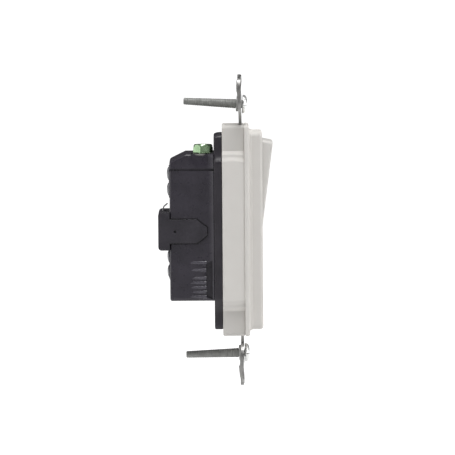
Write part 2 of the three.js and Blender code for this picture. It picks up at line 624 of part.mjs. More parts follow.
let assemblyCount = 0;
for (const y of [-BOSS.y, BOSS.y]) {
  for (const z of [-BOSS.z, BOSS.z]) {
    assemblyCount += 1;
    addMesh(`assembly_screw_${assemblyCount}`, makeAssemblyScrew(y, z), STEEL);
  }
}
RIVET.heights.forEach((z, i) => addMesh(`terminal_rivet_${i + 1}`, makeRivet(z), GREY));

export default model;
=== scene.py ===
"""The looks of a decorator rocker wall switch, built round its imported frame. Sizes are in millimetres until a
mesh is made. +X points out of the wall, +Z is up, the wall's plane is X = 0, and the camera looks from -Y."""

import json
import math

import bmesh
import bpy
from mathutils import Matrix, Vector


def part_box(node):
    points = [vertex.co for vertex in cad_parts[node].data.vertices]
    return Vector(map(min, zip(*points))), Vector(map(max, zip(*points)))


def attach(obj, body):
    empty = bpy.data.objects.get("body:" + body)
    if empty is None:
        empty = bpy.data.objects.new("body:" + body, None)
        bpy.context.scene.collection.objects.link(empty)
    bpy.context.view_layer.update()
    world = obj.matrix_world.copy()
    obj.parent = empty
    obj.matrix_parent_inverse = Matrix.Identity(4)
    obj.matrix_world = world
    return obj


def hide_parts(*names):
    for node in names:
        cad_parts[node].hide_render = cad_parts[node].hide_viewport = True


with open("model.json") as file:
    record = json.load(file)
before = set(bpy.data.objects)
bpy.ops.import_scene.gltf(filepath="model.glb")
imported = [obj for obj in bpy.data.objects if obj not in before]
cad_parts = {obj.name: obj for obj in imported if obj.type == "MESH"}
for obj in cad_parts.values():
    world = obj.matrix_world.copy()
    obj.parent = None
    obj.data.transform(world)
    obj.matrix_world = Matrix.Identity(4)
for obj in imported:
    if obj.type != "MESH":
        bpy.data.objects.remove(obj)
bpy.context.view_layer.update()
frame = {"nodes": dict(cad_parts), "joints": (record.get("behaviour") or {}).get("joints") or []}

MM = 0.001
TAU = math.tau
NODES = frame["nodes"]
JOINTS = {joint["name"]: joint for joint in frame["joints"]}


# ---------------------------------------------------------------- sizes from the frame
def box_mm(node):
    low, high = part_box(node)
    return low / MM, high / MM


STRAP_LOW, STRAP_HIGH = box_mm("mounting_strap")
HOUSING_LOW, HOUSING_HIGH = box_mm("front_housing")
MIDDLE_LOW, MIDDLE_HIGH = box_mm("middle_housing")
PLATE_LOW, PLATE_HIGH = box_mm("separator_plate")
BODY_LOW, BODY_HIGH = box_mm("back_body")
CLIP_LOW, CLIP_HIGH = box_mm("rear_clip")
PIVOT = Vector(JOINTS["rocker_tilt"]["pos_m"]) / MM
TILT = math.radians(JOINTS["rocker_tilt"]["range_deg"][1] / 2)


# ---------------------------------------------------------------- shader nodes
def new_maths(nodes, links, operation, *values):
    """A Math node; each value is an output to link, or a number."""
    maths = nodes.new("ShaderNodeMath")
    maths.operation = operation
    for socket, value in zip(maths.inputs, values):
        if isinstance(value, float):
            socket.default_value = value
        else:
            links.new(value, socket)
    return maths.outputs["Value"]


def new_range(nodes, links, value, before, after, interpolation="LINEAR"):
    """A Map Range node that takes the value from the limits before to the limits after."""
    limits = nodes.new("ShaderNodeMapRange")
    limits.interpolation_type = interpolation
    for socket, number in zip(("From Min", "From Max", "To Min", "To Max"), (*before, *after)):
        limits.inputs[socket].default_value = number
    links.new(value, limits.inputs["Value"])
    return limits.outputs["Result"]


def new_ramp(nodes, links, value, stops):
    """A Color Ramp node with (position, colour) stops."""
    ramp = nodes.new("ShaderNodeValToRGB")
    elements = ramp.color_ramp.elements
    while len(elements) < len(stops):
        elements.new(0.5)
    for element, (position, colour) in zip(elements, stops):
        element.position = position
        element.color = colour
    links.new(value, ramp.inputs["Fac"])
    return ramp.outputs["Color"]


# ---------------------------------------------------------------- materials
NOISE_LIMITS = (0.35, 0.65)  # most of a noise texture's values lie between these


class Look:
    """A Principled shader whose colour, roughness and bump come from noise, measured in millimetres."""

    def __init__(self, name, **constants):
        self.material = bpy.data.materials.new(name)
        self.material.use_nodes = True
        self.nodes = self.material.node_tree.nodes
        self.links = self.material.node_tree.links
        self.shader = self.nodes["Principled BSDF"]
        for socket, value in constants.items():
            self.shader.inputs[socket.replace("_", " ")].default_value = value
        coordinates = self.nodes.new("ShaderNodeTexCoord")
        self.place = self.nodes.new("ShaderNodeMapping")
        self.place.inputs["Scale"].default_value = (1 / MM, 1 / MM, 1 / MM)
        self.links.new(coordinates.outputs["Object"], self.place.inputs["Vector"])

    def noise(self, scale, detail, stretch=None):
        vector = self.place.outputs["Vector"]
        if stretch:
            squeeze = self.nodes.new("ShaderNodeMapping")
            squeeze.inputs["Scale"].default_value = stretch
            self.links.new(vector, squeeze.inputs["Vector"])
            vector = squeeze.outputs["Vector"]
        texture = self.nodes.new("ShaderNodeTexNoise")
        texture.inputs["Scale"].default_value = scale
        texture.inputs["Detail"].default_value = detail
        self.links.new(vector, texture.inputs["Vector"])
        return texture.outputs["Fac"]

    def colour(self, value, dark, light):
        stops = list(zip(NOISE_LIMITS, ((*dark, 1), (*light, 1))))
        mixed = new_ramp(self.nodes, self.links, value, stops)
        self.links.new(mixed, self.shader.inputs["Base Color"])

    def paint_shade_on_ends(self, start, full, share):
        """Paints shade on both ends of the piece: past start to full in Z, they have the given share of its
        colour.
        """
        colour = self.shader.inputs["Base Color"].links[0].from_socket
        parts = self.nodes.new("ShaderNodeSeparateXYZ")
        self.links.new(self.place.outputs["Vector"], parts.inputs[0])
        height = new_maths(self.nodes, self.links, "ABSOLUTE", parts.outputs["Z"])
        scale = new_range(self.nodes, self.links, height, (start, full), (1.0, share))
        # painted shade: the colour is scaled down towards both ends
        shade_painted = self.nodes.new("ShaderNodeVectorMath")
        shade_painted.operation = "SCALE"
        self.links.new(colour, shade_painted.inputs[0])
        self.links.new(scale, shade_painted.inputs["Scale"])
        self.links.new(shade_painted.outputs["Vector"], self.shader.inputs["Base Color"])

    def roughness(self, value, smooth, rough):
        limits = new_range(self.nodes, self.links, value, NOISE_LIMITS, (smooth, rough))
        self.links.new(limits, self.shader.inputs["Roughness"])

    def bump(self, value, height_mm):
        bump = self.nodes.new("ShaderNodeBump")
        bump.inputs["Strength"].default_value = 1.0
        bump.inputs["Distance"].default_value = height_mm * MM
        self.links.new(value, bump.inputs["Height"])
        self.links.new(bump.outputs["Normal"], self.shader.inputs["Normal"])


def plastic(name, dark, light, smooth, rough, grain, height, shine=0.5):
    """Broad faint clouds of colour, patches of uneven gloss, and a fine grain of the height given."""
    look = Look(name, IOR=1.5, Specular_IOR_Level=shine)
    look.colour(look.noise(0.16, 4), dark, light)
    look.roughness(look.noise(0.6, 3), smooth, rough)
    look.bump(look.noise(grain, 2), height)
    return look


def metal(name, dark, light, smooth, rough, stretch, height, metallic=1.0):
    """Mottled plating with uneven gloss, and fine marks drawn out along one direction."""
    look = Look(name, Metallic=metallic)
    look.colour(look.noise(0.5, 4), dark, light)
    look.roughness(look.noise(1.1, 4), smooth, rough)
    look.bump(look.noise(1.6, 3, stretch), height)
    return look.material


def nylon(name, dark, light, smooth=0.50, rough=0.60, grain=3.2, height=0.003, shine=0.0):
    return plastic(name, dark, light, smooth, rough, grain, height, shine)


NYLON = ((0.668, 0.648, 0.620), (0.682, 0.662, 0.634))
POLISHED_NYLON = ((0.668, 0.653, 0.628), (0.682, 0.667, 0.642))
# painted shade: the middle moulding's narrow ends are coloured a tenth darker than its middle
PAINTED_SHADE_ENDS = (26.6, 27.2, 0.9)  # the middle moulding's narrow ends look a little darker in the photo
WHITE = nylon("white nylon", *NYLON).material
MIDDLE = nylon("white nylon, middle", *NYLON)
MIDDLE.paint_shade_on_ends(*PAINTED_SHADE_ENDS)
PADDLE_WHITE = nylon("white nylon, polished", *POLISHED_NYLON, 0.34, 0.42, 2.4, 0.002, 0.1).material


def black(name, dark, light, smooth, rough, grain=4.5, height=0.008):
    return plastic(name, dark, light, smooth, rough, grain, height).material


BLACK = black("black moulding", (0.0205, 0.0175, 0.0258), (0.0315, 0.027, 0.0385), 0.26, 0.38)
# painted highlight: the ribs' black is paler than the casing's, besides being glossier
RIB_BLACK_PAINTED_HIGHLIGHT = black("black ribs, painted highlight", (0.050, 0.046, 0.060), (0.070, 0.065, 0.082), 0.22, 0.32, height=0.003)
PLATE_BLACK = black("black plate", (0.016, 0.0135, 0.019), (0.025, 0.0215, 0.029), 0.34, 0.46, height=0.006)
CLIP_BLACK = black("black clip moulding", (0.0175, 0.0152, 0.0215), (0.027, 0.0235, 0.032), 0.34, 0.48, 5.0)
FIBRE = plastic("retaining washer", (0.30, 0.30, 0.29), (0.38, 0.38, 0.37), 0.60, 0.75, 2.5, 0.010).material

# the directions in which a metal's fine marks are drawn out, as shares of the noise's scale
ROLLED = (1, 0.12, 1)
DRAWN = (0.3, 1, 1)
COILED = (0.2, 1, 1)
PRESSED = (1, 1, 0.15)
PLATED = (1, 1, 0.3)
EVEN = (1, 1, 1)
STRAP_STEEL = metal("zinc strap", (0.27, 0.268, 0.262), (0.43, 0.425, 0.415), 0.32, 0.50, ROLLED, 0.006)
# painted shade: the threaded shank is the same zinc as the head, coloured darker and less metallic
THREAD_STEEL_PAINTED_SHADE = metal(
    "zinc thread, painted shade", (0.225, 0.228, 0.218), (0.305, 0.308, 0.296), 0.56, 0.68, DRAWN, 0.003, metallic=0.5
)
SCREW_STEEL = metal("zinc screw", (0.80, 0.805, 0.795), (0.92, 0.925, 0.91), 0.26, 0.40, DRAWN, 0.003)
CLAMP_STEEL = metal("plated clamp", (0.46, 0.455, 0.44), (0.60, 0.595, 0.58), 0.28, 0.42, PRESSED, 0.004)
SPRING_STEEL = metal("spring steel", (0.56, 0.56, 0.56), (0.70, 0.70, 0.70), 0.18, 0.30, COILED, 0.002)
BRASS = metal("brass", (0.50, 0.34, 0.12), (0.68, 0.50, 0.21), 0.24, 0.40, COILED, 0.003)
SILVER = metal("silver contact", (0.72, 0.72, 0.70), (0.84, 0.84, 0.82), 0.20, 0.34, EVEN, 0.002)
GREEN = metal("green dyed plating", (0.24, 0.36, 0.21), (0.35, 0.49, 0.31), 0.20, 0.30, PLATED, 0.003)
GREY = metal("grey rivet", (0.20, 0.20, 0.21), (0.30, 0.30, 0.31), 0.40, 0.55, EVEN, 0.004)


# ---------------------------------------------------------------- mesh building
def mesh_of(name, points, faces):
    """A mesh from points in millimetres, its normals turned outwards."""
    mesh = bpy.data.meshes.new(name)
    mesh.from_pydata([Vector(point) * MM for point in points], [], faces)
    mesh.validate()
    work = bmesh.new()
    work.from_mesh(mesh)
    bmesh.ops.remove_doubles(work, verts=work.verts, dist=1e-7)
    bmesh.ops.recalc_face_normals(work, faces=work.faces)
    work.to_mesh(mesh)
    work.free()
    return mesh


def object_of(name, mesh):
    obj = bpy.data.objects.new(name, mesh)
    bpy.context.scene.collection.objects.link(obj)
    return obj


def settle(obj):
    """Applies the object's modifiers to its mesh."""
    bpy.context.view_layer.update()
    graph = bpy.context.evaluated_depsgraph_get()
    solid = bpy.data.meshes.new_from_object(obj.evaluated_get(graph))
    obj.modifiers.clear()
    obj.data = solid


def combine(obj, meshes, operation):
    """Cuts the meshes from the object, or joins them to it. Each mesh is a closed solid."""
    work = bmesh.new()
    for mesh in meshes:
        work.from_mesh(mesh)
    whole = bpy.data.meshes.new("tools")
    work.to_mesh(whole)
    work.free()
    tool = object_of("tools", whole)
    boolean = obj.modifiers.new("boolean", "BOOLEAN")
    boolean.operation = operation
    boolean.solver = "EXACT"
    boolean.use_self = len(meshes) > 1
    boolean.object = tool
    settle(obj)
    bpy.data.objects.remove(tool)


def soften(obj, width, segments, angle):
    """Bevels the edges that are sharper than the angle."""
    bevel = obj.modifiers.new("edges", "BEVEL")
    bevel.width = width * MM
    bevel.segments = segments
    bevel.limit_method = "ANGLE"
    bevel.angle_limit = math.radians(angle)
    bevel.miter_outer = "MITER_ARC"
    bevel.use_clamp_overlap = True
    settle(obj)


def finish_piece(obj, look, body, nodes, angle):
    mesh = obj.data
    mesh.materials.clear()
    mesh.materials.append(look)
    mesh.polygons.foreach_set("use_smooth", [True] * len(mesh.polygons))
    mesh.set_sharp_from_angle(angle=math.radians(angle))
    flatter = obj.modifiers.new("flat faces", "WEIGHTED_NORMAL")
    flatter.keep_sharp = True
    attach(obj, body)
    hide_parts(*nodes)


def loft(rings, closed=False):
    """Faces between rings that have the same number of points."""
    count = len(rings[0])
    points = [point for ring in rings for point in ring]
    faces = []
    spans = len(rings) if closed else len(rings) - 1
    for r in range(spans):
        a = r * count
        b = (r + 1) % len(rings) * count
        for i in range(count):
            j = (i + 1) % count
            faces.append((a + i, a + j, b + j, b + i))
    return points, faces


def strip_cap(start, count, flip):
    """Closes a ring whose second half mirrors its first, by strips from one side to the other."""
    faces = []
    for i in range(count // 2 - 1):
        quad = (start + i, start + i + 1, start + count - 2 - i, start + count - 1 - i)
        faces.append(quad[::-1] if flip else quad)
    return faces


def lofted(name, rings):
    """A closed solid through the rings, with both ends capped in strips."""
    points, faces = loft(rings)
    count = len(rings[0])
    faces += strip_cap(0, count, True)
    faces += strip_cap((len(rings) - 1) * count, count, False)
    return mesh_of(name, points, faces)


def quarter(centre_a, centre_b, radius, start, steps=5):
    """Points of a quarter circle, its start angle in degrees."""
    out = []
    for i in range(steps + 1):
        angle = math.radians(start + 90 * i / steps)
        out.append((centre_a + radius * math.cos(angle), centre_b + radius * math.sin(angle)))
    return out


def block(low, high):
    (x0, y0, z0), (x1, y1, z1) = low, high
    points = [(x, y, z) for x in (x0, x1) for y in (y0, y1) for z in (z0, z1)]
    faces = [(0, 1, 3, 2), (4, 6, 7, 5), (0, 4, 5, 1), (2, 3, 7, 6), (0, 2, 6, 4), (1, 5, 7, 3)]
    return mesh_of("block", points, faces)


def flat_y(points, y0, y1):
    """A solid from an outline of (x, z) points, spread between two places in y."""
    count = len(points)
    corners = [(x, y, z) for y in (y0, y1) for x, z in points]
    faces = [tuple(range(count)), tuple(range(2 * count - 1, count - 1, -1))]
    faces += [(i, (i + 1) % count, (i + 1) % count + count, i + count) for i in range(count)]
    return mesh_of("slab", corners, faces)


AXES = {
    "x": Matrix(((0, 0, 1), (1, 0, 0), (0, 1, 0))),
    "y": Matrix(((0, 1, 0), (0, 0, 1), (1, 0, 0))),
    "z": Matrix(((1, 0, 0), (0, 1, 0), (0, 0, 1))),
}


def turned(name, profile, axis, origin=(0, 0, 0), sides=48):
    """Spins (along, radius) points round an axis through the origin given; both end radii are 0."""
    turn = AXES[axis]
    angles = [TAU * i / sides for i in range(sides)]
    rings = []
    for along, radius in profile[1:-1]:
        ring = [(radius * math.cos(angle), radius * math.sin(angle), along) for angle in angles]
        rings.append([turn @ Vector(point) + Vector(origin) for point in ring])
    points, faces = loft(rings)
    last = (len(rings) - 1) * sides
    for along, first in ((profile[0][0], 0), (profile[-1][0], last)):
        centre = len(points)
        points.append(turn @ Vector((0, 0, along)) + Vector(origin))
        faces += [(first + i, first + (i + 1) % sides, centre) for i in range(sides)]
    return mesh_of(name, points, faces)


def rod(axis, start, end, radius, origin=(0, 0, 0)):
    return turned("rod", [(start, 0), (start, radius), (end, radius), (end, 0)], axis, origin, 32)


def outline(width, z0, z1, corner, rows, steps=5):
    """A round-cornered shape: its right side from bottom to top, then the left side mirrored.

    width(z) is the half-width, and rows holds the places along the straight side, as shares of its length.
    """
    right = []
    for y, z in quarter(0, 0, corner, -90, steps):
        right.append((width(z0 + corner) - corner + y, z0 + corner + z))
    for share in rows:
        z = z0 + corner + (z1 - z0 - 2 * corner) * share
        right.append((width(z), z))
    for y, z in quarter(0, 0, corner, 0, steps):
        right.append((width(z1 - corner) - corner + y, z1 - corner + z))
    return right + [(-y, z) for y, z in reversed(right)]


def shares(places, low, high):
    """Where the places lie between low and high, as shares of the way."""
    return [(place - low) / (high - low) for place in places]


def smooth_step(value):
    value = min(max(value, 0), 1)
    return value * value * (3 - 2 * value)


# ---------------------------------------------------------------- the white housings
SIDE_ROWS = shares(
    [-35, -32, -29.5, -28.2]
    + [-27.3 + 0.25 * i for i in range(20)]
    + [-21 + 3.0 * i for i in range(15)]
    + [22.55 + 0.25 * i for i in range(20)]
    + [28.2, 29.5, 32, 35],
    -36,
    36,
)
NARROW = 16.6  # half-width at the ends
# the shoulder is two steps: from z, to z, gain in half-width
UPPER_STEP = (26.9, 25.7, 1.2)
LOWER_STEP = (24.7, 23.0, 0.8)
ARCH_DEPTH = 0.5
CORNER = 0.9
NECK_HALF = 8  # half the width of the strap's neck
BOSS_PLACES = [(y, z) for y in (-12.9, 12.9) for z in (-28.5, 28.5)]


def shoulder(x):
    """Half-width at each height, larger beside the mechanism. The lower step arches across the depth."""
    across = (x - (MIDDLE_LOW.x + MIDDLE_HIGH.x) / 2) / 4.0
    arch = ARCH_DEPTH * (1 - min(across * across, 1))

    def width(z):
        total = NARROW
        for (outer, inner, gain), rise in ((UPPER_STEP, 0), (LOWER_STEP, arch)):
            total += gain * smooth_step((outer + rise - abs(z)) / (outer - inner))
        return total

    return width


def inset(width, amount):
    return lambda z: width(z) - amount


def level(value):
    """The same value at every place."""
    return lambda place: value


def ring_x(x, width, z0, z1, corner):
    return [(x, y, z) for y, z in outline(width, z0, z1, corner, SIDE_ROWS)]


def make_middle_housing():
    """The white moulding behind the strap, with a groove across each end that the strap's neck lies in."""
    end, wall, rounding, inner_corner = HOUSING_HIGH.z, 1.8, 0.45, 0.8
    back, front, rim = MIDDLE_LOW.x, MIDDLE_HIGH.x, HOUSING_LOW.x - 0.02
    rings = []
    for x, less in ((back, rounding), (back + 0.13, 0.13), (back + rounding, 0.0)):
        rings.append(ring_x(x, inset(shoulder(x), less), -end + less, end - less, CORNER))
    for i in range(1, 13):
        x = back + rounding + (front - back - rounding) * i / 12
        rings.append(ring_x(x, shoulder(x), -end, end, CORNER))
    # a thin lip closes the joint and leaves a shadow line
    for x in (front + 0.02, rim):
        rings.append(ring_x(x, inset(shoulder(1.2), 0.16), -end + 0.14, end - 0.14, CORNER))
    inside = inset(shoulder(-6), wall)
    for x in (rim, -1.0, -3.5, back + 0.2):
        rings.append(ring_x(x, inside, -end + wall, end - wall, inner_corner))
    rings.append(ring_x(back, inset(inside, -0.2), -end + wall - 0.2, end - wall + 0.2, inner_corner))
    points, faces = loft(rings, closed=True)
    housing = object_of("middle_housing_shell", mesh_of("middle_housing_shell", points, faces))

    bosses = [rod("x", back + 0.3, 1.1, 2.2, (0, y, z)) for y, z in BOSS_PLACES]
    cuts = [rod("x", back - 1, 0.4, 1.5, (0, y, z)) for y, z in BOSS_PLACES]
    combine(housing, bosses, "UNION")
    half = NECK_HALF + 0.2
    for side, groove in ((-1, -0.03), (1, -0.36)):  # deeper at the top, where the strap leans back
        ends = sorted((side * (end - wall - 1), side * (end + 1)))
        cuts.append(block((groove, -half, ends[0]), (HOUSING_LOW.x + 1, half, ends[1])))
    combine(housing, cuts, "DIFFERENCE")
    finish_piece(housing, MIDDLE.material, "device", ["middle_housing"], 40)


def make_front_housing():
    """The white moulding in front of the strap, with the opening that the paddle tilts in."""
    end, back, front = HOUSING_HIGH.z, HOUSING_LOW.x, HOUSING_HIGH.x
    flange_front = 3.1
    flange, step, face, opening = 19.0, 17.2, 16.5, 13.6  # half-widths
    step_end, face_end, open_end = 33.9, 33.2, 31.4  # half-heights
    flange_corner, face_corner, open_corner = 0.8, 1.3, 0.8
    flange_round, face_round = 0.75, 0.9  # of the front edges

    def ring(x, half_width, half_height, corner):
        return ring_x(x, level(half_width), -half_height, half_height, corner)

    rings = []
    for x, less in ((0.0, 0.3), (0.02, 0.22), (0.1, 0.08), (0.26, 0.0), (0.8, 0.0)):
        rings.append(ring(back + x, flange - less, end - less, flange_corner))
    for along, ahead in quarter(0, 0, flange_round, 0, 5):
        less = flange_round - along
        rings.append(ring(flange_front - flange_round + ahead, flange - less, end - less, flange_corner))
    # the flat that the cover plate rests on, and the fillet up to the raised face
    fillet = ((0.0, 0.0), (0.04, 0.16), (0.22, 0.42), (0.68, 0.52), (0.92, 0.62), (1.02, 0.72))
    for x, less in fillet:
        rings.append(ring(flange_front + x, step - less, step_end - less, face_corner))
    for x in (4.3, 5.4, 6.6):
        rings.append(ring(x, face, face_end, face_corner))
    for along, ahead in quarter(0, 0, face_round, 0, 6):
        less = face_round - along
        rings.append(ring(front - face_round + ahead, face - less, face_end - less, face_corner))
    # the rim round the paddle, and the opening's wall
    rim = ((0.0, 0.45), (-0.06, 0.2), (-0.2, 0.06), (-0.45, 0.0), (-2.5, 0.0), (back - front, 0.0))
    for x, more in rim:
        rings.append(ring(front + x, opening + more, open_end + more, open_corner))
    points, faces = loft(rings, closed=True)
    housing = object_of("front_housing_shell", mesh_of("front_housing_shell", points, faces))

    # a tongue at each end closes the groove in front of the strap's neck
    tongues = []
    for side, neck in ((1, 0.72), (-1, 1.03)):
        ends = sorted((side * (end - 1.7), side * (end - 0.12)))
        tongues.append(block((neck, -NECK_HALF - 0.1, ends[0]), (back + 0.5, NECK_HALF + 0.1, ends[1])))
    combine(housing, tongues, "UNION")
    # the seats of the paddle's trunnions
    bearings = []
    for side in (-1, 1):
        seat = sorted((side * (opening - 1), side * 15.4))
        bearings.append(block((0, seat[0], -1.7), (PIVOT.x, seat[1], 1.7)))
        bearings.append(rod("y", seat[0] + 0.01, seat[1] - 0.01, 1.69, (PIVOT.x, 0, 0)))
    combine(housing, bearings, "DIFFERENCE")
    finish_piece(housing, WHITE, "device", ["front_housing"], 40)


# ---------------------------------------------------------------- the paddle
FOLD_ROWS = [-2.2, -1.2, -0.6, -0.2, 0.2, 0.6, 1.2, 2.2]
PADDLE_ROWS = shares(
    [-28 + 2.0 * i for i in range(13)] + FOLD_ROWS + [4 + 2.0 * i for i in range(13)],
    -29.9,
    29.9,
)


def make_paddle():
    """The rocker, folded in the middle and hollow behind, with the tower that drives the plunger."""
    half, end_radius, front, back, wall = 13.3, 30.7, 3.8, -2.0, 1.6
    rounding = 0.7  # of the front edges
    rise = math.tan(TILT)
    place = Matrix.Translation(PIVOT) @ Matrix.Rotation(TILT, 4, "Y")

    def fold(z):
        """How far the face stands in front of the fold, at each height."""
        return rise * (math.sqrt(z * z + 0.5) - 0.7)

    def ring(x, less):
        """A ring whose ends lie on an arc round the pivot, so that the gap stays even as the paddle tilts."""
        end = end_radius
        for _ in range(4):
            end = math.sqrt(end_radius**2 - (x + fold(end)) ** 2)
        end -= less
        shape = outline(level(half - less), -end, end, 0.9, PADDLE_ROWS)
        return [place @ Vector((x + fold(z), y, z)) for y, z in shape]

    rings = []
    for step in range(6):
        angle = math.radians(90 * step / 5)
        less = rounding * (1 - math.sin(angle))
        rings.append(ring(front - rounding + rounding * math.cos(angle), less))
    rings += [ring(x, 0.0) for x in (2.2, 1.0, -0.5, back + 0.25)]
    rings += [ring(back + 0.07, 0.07), ring(back, 0.3)]
    # the hollow behind
    rings += [ring(back, wall - 0.2), ring(back + 0.2, wall)]
    rings += [ring(x, wall) for x in (0.0, front - wall - 0.4)]
    rings.append(ring(front - wall, wall + 0.4))
    paddle = object_of("rocker_paddle_shell", lofted("rocker_paddle_shell", rings))

    def placed(mesh):
        mesh.transform(Matrix.Translation(PIVOT * MM) @ Matrix.Rotation(TILT, 4, "Y"))
        return mesh

    # the hollow tower for the plunger, with the trunnions and webs
    tower = [placed(rod("x", -11.5, front - wall + 0.5, 3.5))]
    for side in (-1, 1):
        ends = sorted((side * (half - 1.0), side * 15.1))
        tower.append(placed(rod("y", ends[0], ends[1], 1.4)))
        web = sorted((side * 3.0, side * (half - 1.0)))
        tower.append(placed(block((-1.4, web[0], -0.8), (front - wall + 0.3, web[1], 0.8))))
    combine(paddle, tower, "UNION")
    combine(paddle, [placed(rod("x", -12.5, 0, 2.2))], "DIFFERENCE")
    finish_piece(paddle, PADDLE_WHITE, "rocker", ["rocker_paddle"], 40)


# ---------------------------------------------------------------- the separator plate
def make_separator():
    """The black plate between the white mouldings and the back body."""
    back, front = PLATE_LOW.x, MIDDLE_LOW.x - 0.02
    top, bottom = PLATE_HIGH.z, PLATE_LOW.z

    def width(z):
        step = smooth_step((26.6 - abs(z)) / 3.8)
        return 16.2 + 1.8 * step

    rings = []
    for x, less, droop in (
        (back, 0.5, 0.45),
        (back + 0.1, 0.2, 0.4),
        (back + 0.4, 0.0, 0.35),
        (back + 1.3, 0.0, 0.1),
        (front - 0.25, 0.0, 0.0),
        (front - 0.06, 0.08, 0.0),
        (front, 0.25, 0.0),
    ):
        rings.append(ring_x(x, inset(width, less), bottom + less, top - less - droop, 1.2))
    plate = object_of("separator_plate_moulding", lofted("separator_plate_moulding", rings))
    pegs = [rod("x", front - 0.1, -0.3, 2.0, (0, y, z)) for z in (-28.8, 28.8) for y in (-5.5, 5.5)]
    # the plunger's window and the ground tab's slit, then the screws' counterbores and holes
    cuts = [block((back - 1, -8, -6.5), (front + 1, 8, 6.5))]
    cuts.append(block((back - 1, -14.6, 23.8), (front + 1, -6.4, 25.2)))
    for y, z in BOSS_PLACES:
        cuts.append(rod("x", back - 1, back + 1.5, 2.6, (0, y, z)))
        cuts.append(rod("x", back + 1, front + 1, 1.5, (0, y, z)))
    combine(plate, pegs, "UNION")
    combine(plate, cuts, "DIFFERENCE")
    finish_piece(plate, PLATE_BLACK, "device", ["separator_plate"], 35)


# ---------------------------------------------------------------- the back body
BODY_ROWS = shares([-20 + 2.2 * i for i in range(19)], -24, 24)
BODY_HALF = 16.5
CHAMBER_HALF = 13.9
SLOPE_START = -18.5  # behind this the top slopes down to the back
SLOPE = 2.1 / 4.3
SWEEP_START = -11.3  # in front of this the sides sweep out to meet the plate
RIVET_Y = -9
RIVET_HEIGHTS = (19.3, 14.0, -8.6, -13.7)
RIB_HEIGHTS = (-10.6, -13.1, -15.8, -17.4, -18.9, -20.5, -22.1)
RIBS_BACK, RIBS_FRONT = -16.9, -11.5
TERMINAL_X = -16
TERMINAL_HEIGHTS = {"line": 12, "load": -12}
PUSH_IN_Y = 9.5
PUSH_IN_HEIGHTS = (-18.6, 18.6)
GROUND = Vector((-12.4, -10.5, 26.3))  # the ground screw's axis, and the underside of its head


def ring_body(x, width, z0, z1, corner):
    return [(x, y, z) for y, z in outline(width, z0, z1, corner, BODY_ROWS)]


def body_top(x):
    """The height of the casing's top, which slopes down behind SLOPE_START."""
    return BODY_HIGH.z - max(SLOPE_START - x, 0) * SLOPE


def body_shell():
    """The casing, open to the front, with its contact chamber."""
    back, front, bottom = BODY_LOW.x, PLATE_LOW.x - 0.02, BODY_LOW.z
    corner, rounding = 1.1, 0.7
    rings = []
    for ahead, out in quarter(0, 0, rounding, 0, 5):
        x = back + rounding - ahead
        less = rounding - out
        rings.append(ring_body(x, level(BODY_HALF - less), bottom + less, body_top(x) - 0.7 * less, corner))
    for x in (-21.5, -20.0, -18.9, -18.5, -18.1, -16.5, -14.5, -13.0, -12.0):
        rings.append(ring_body(x, level(BODY_HALF), bottom, body_top(x), corner))
    for step in range(1, 6):
        along = step / 5
        x = SWEEP_START + (front - 0.1 - SWEEP_START) * along
        out = 1 - math.cos(along * math.pi / 2)
        rings.append(ring_body(x, level(BODY_HALF + out), bottom, BODY_HIGH.z, corner))
    rings.append(ring_body(front, level(BODY_HALF + 0.85), bottom + 0.15, BODY_HIGH.z - 0.15, corner))
    for x in (front, -15.0, -21.4):
        rings.append(ring_body(x, level(CHAMBER_HALF), -21.3, 21.9, 0.6))
    rings.append(ring_body(-21.8, level(CHAMBER_HALF - 0.4), -20.9, 21.5, 0.6))
    return object_of("back_body_moulding", lofted("back_body_moulding", rings))


def body_cuts():
    """The solids to cut from the casing."""
    back, front = BODY_LOW.x, PLATE_LOW.x - 0.02
    # the ground screw's shelf, hole and clamp bed, and the ramp that a wire slides in on
    cuts = [block((-16.5, -14.6, 23.8), (front + 1, -6.4, 27))]
    cuts.append(rod("z", 20.5, 26, 2.05, (GROUND.x, GROUND.y, 0)))
    cuts.append(rod("y", -18.5, -10.5, 2.8, (-13.4, 0, BODY_HIGH.z + 1.9)))
    cuts.append(wire_ramp())
    # the clip's beds and the groove below the sloping top
    for side in (-1, 1):
        outer = sorted((side * (BODY_HALF - 0.6), side * (BODY_HALF + 2)))
        cuts.append(clip_recess(outer))
        cuts.append(block((back - 1, outer[0], 20.35), (front + 1, outer[1], 21.15)))
    for z in TERMINAL_HEIGHTS.values():
        cuts.append(block((TERMINAL_X - 4.4, 12.9, z - 4.2), (TERMINAL_X + 4.4, BODY_HALF + 1, z + 4.2)))
    # the push-in wire holes, each with a funnel, and the rivets' holes
    funnel = [(back - 0.5, 0), (back - 0.5, 2.4), (back + 0.7, 1.2), (back + 0.7, 0)]
    for z in PUSH_IN_HEIGHTS:
        cuts.append(rod("x", back - 1, -20.8, 1.2, (0, PUSH_IN_Y, z)))
        cuts.append(turned("funnel", funnel, "x", (0, PUSH_IN_Y, z), 32))
    for z in RIVET_HEIGHTS:
        cuts.append(rod("x", back - 1, -20.8, 1.2, (0, RIVET_Y, z)))
    cuts.append(slanted_pocket())
    return cuts


def make_body():
    """The black casing. The faces of its ribs are glossier, and a little paler as a painted highlight."""
    body = body_shell()
    ribs = [fin(z, RIBS_BACK + 0.35 * (i % 3), RIBS_FRONT) for i, z in enumerate(RIB_HEIGHTS)]
    for z in RIVET_HEIGHTS:  # a low boss round each rivet
        ribs.append(rod("x", BODY_LOW.x - 0.25, BODY_LOW.x + 1, 2.9, (0, RIVET_Y, z)))
    combine(body, ribs, "UNION")
    combine(body, body_cuts(), "DIFFERENCE")
    soften(body, 0.12, 2, 40)
    finish_piece(body, BLACK, "device", ["back_body"], 40)
    body.data.materials.append(RIB_BLACK_PAINTED_HIGHLIGHT)
    # the near faces of the ribs take the paler black: a painted highlight
    for polygon in body.data.polygons:
        x, y, z = polygon.center / MM
        if y < -BODY_HALF - 0.03 and RIBS_BACK - 0.1 < x < RIBS_FRONT and -23 < z < -10:
            polygon.material_index = 1


